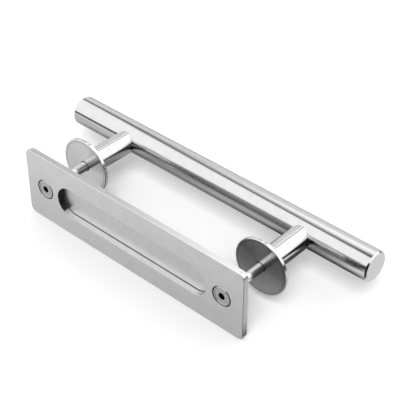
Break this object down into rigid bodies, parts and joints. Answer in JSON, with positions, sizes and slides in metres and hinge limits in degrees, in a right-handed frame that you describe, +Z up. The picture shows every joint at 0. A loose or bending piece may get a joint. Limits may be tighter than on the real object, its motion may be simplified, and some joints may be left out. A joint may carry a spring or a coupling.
{
  "type": "flush and pull barn door handle",
  "caption": "Sliding door handle: a flat plate with an oval finger recess for one face of the door and a round pull bar on posts for the other, joined by bolts through the door.",
  "frame": {"origin": "centre of the flush plate's back, where it lies on the door", "axes": "+X along the pull bar and the plate, +Y through the door towards the pull bar, +Z up across the plate's height"},
  "size_m": [0.305, 0.1105, 0.06],
  "materials": {
    "plate": "satin, fine brushed",
    "recess": "satin",
    "bolts": "turned, bright",
    "rosettes": "turned, bright",
    "posts": "satin polished",
    "bar": "satin polished, fine brushed along its length",
    "caps": "satin polished"
  },
  "bodies": {
    "root": {"flush_plate": "plate", "recess_back": "recess", "bolt_left": "bolts", "bolt_right": "bolts", "rosette_left": "rosettes", "rosette_right": "rosettes", "post_left": "posts", "post_right": "posts", "pull_bar": "bar", "bar_cap_left": "caps", "bar_cap_right": "caps"}
  },
  "joints": []
}
